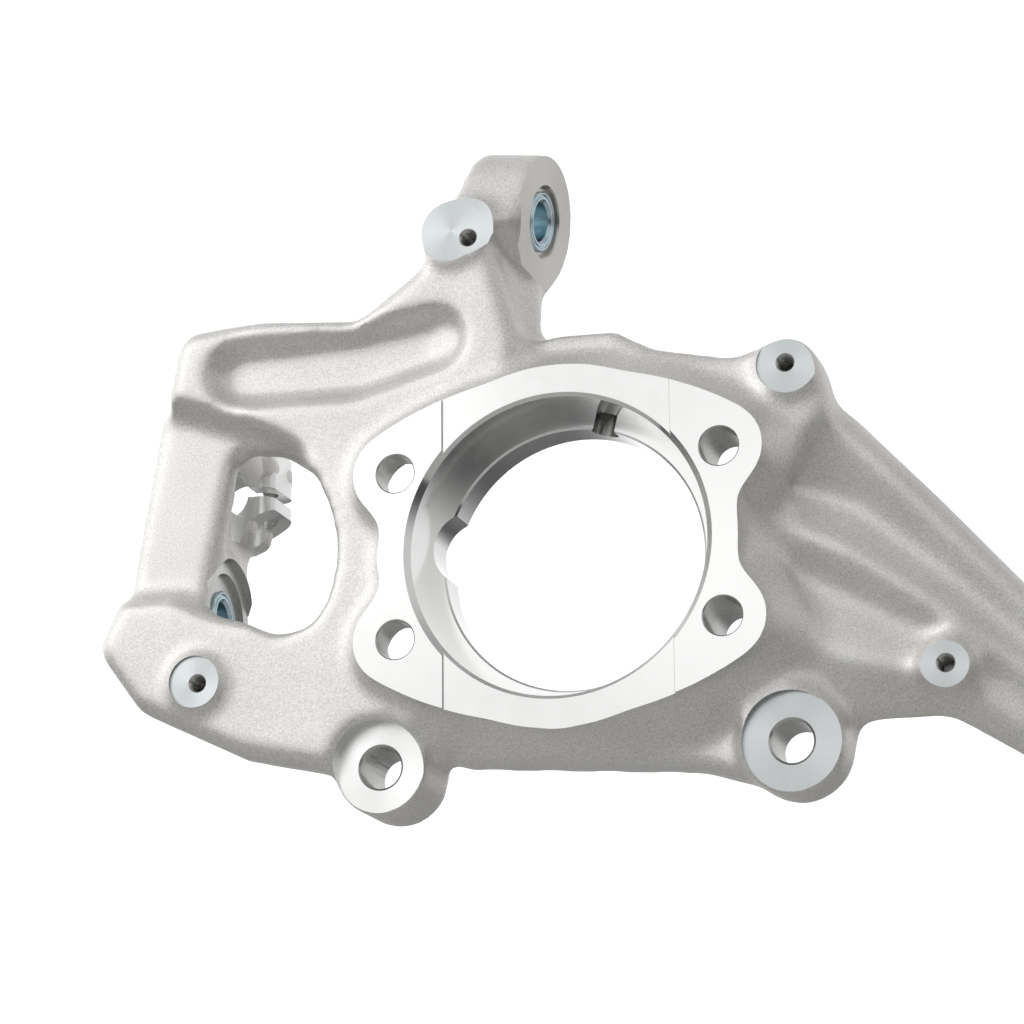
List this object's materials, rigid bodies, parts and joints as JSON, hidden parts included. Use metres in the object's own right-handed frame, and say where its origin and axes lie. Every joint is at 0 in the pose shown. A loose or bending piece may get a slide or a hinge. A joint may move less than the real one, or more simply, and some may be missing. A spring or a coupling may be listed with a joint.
{
  "type": "steering knuckle",
  "caption": "Cast aluminium steering knuckle with a lobed hub flange, steering arm, swept upper arm, caliper bosses and steel joint sleeves.",
  "frame": {"origin": "centre of the hub bore on the bolt-pad face", "axes": "-Y outboard along the hub axis, +X towards the upper ball joint, +Z towards the steering arm"},
  "size_m": [0.3775, 0.073, 0.2498],
  "materials": {
    "cast_aluminium": "shot-blasted casting with machined faces",
    "plated_steel": "blue-passivated zinc plating"
  },
  "bodies": {
    "root": {"knuckle_casting": "cast_aluminium", "steering_arm_sleeve": "plated_steel", "lower_ear_sleeve": "plated_steel"}
  },
  "joints": []
}
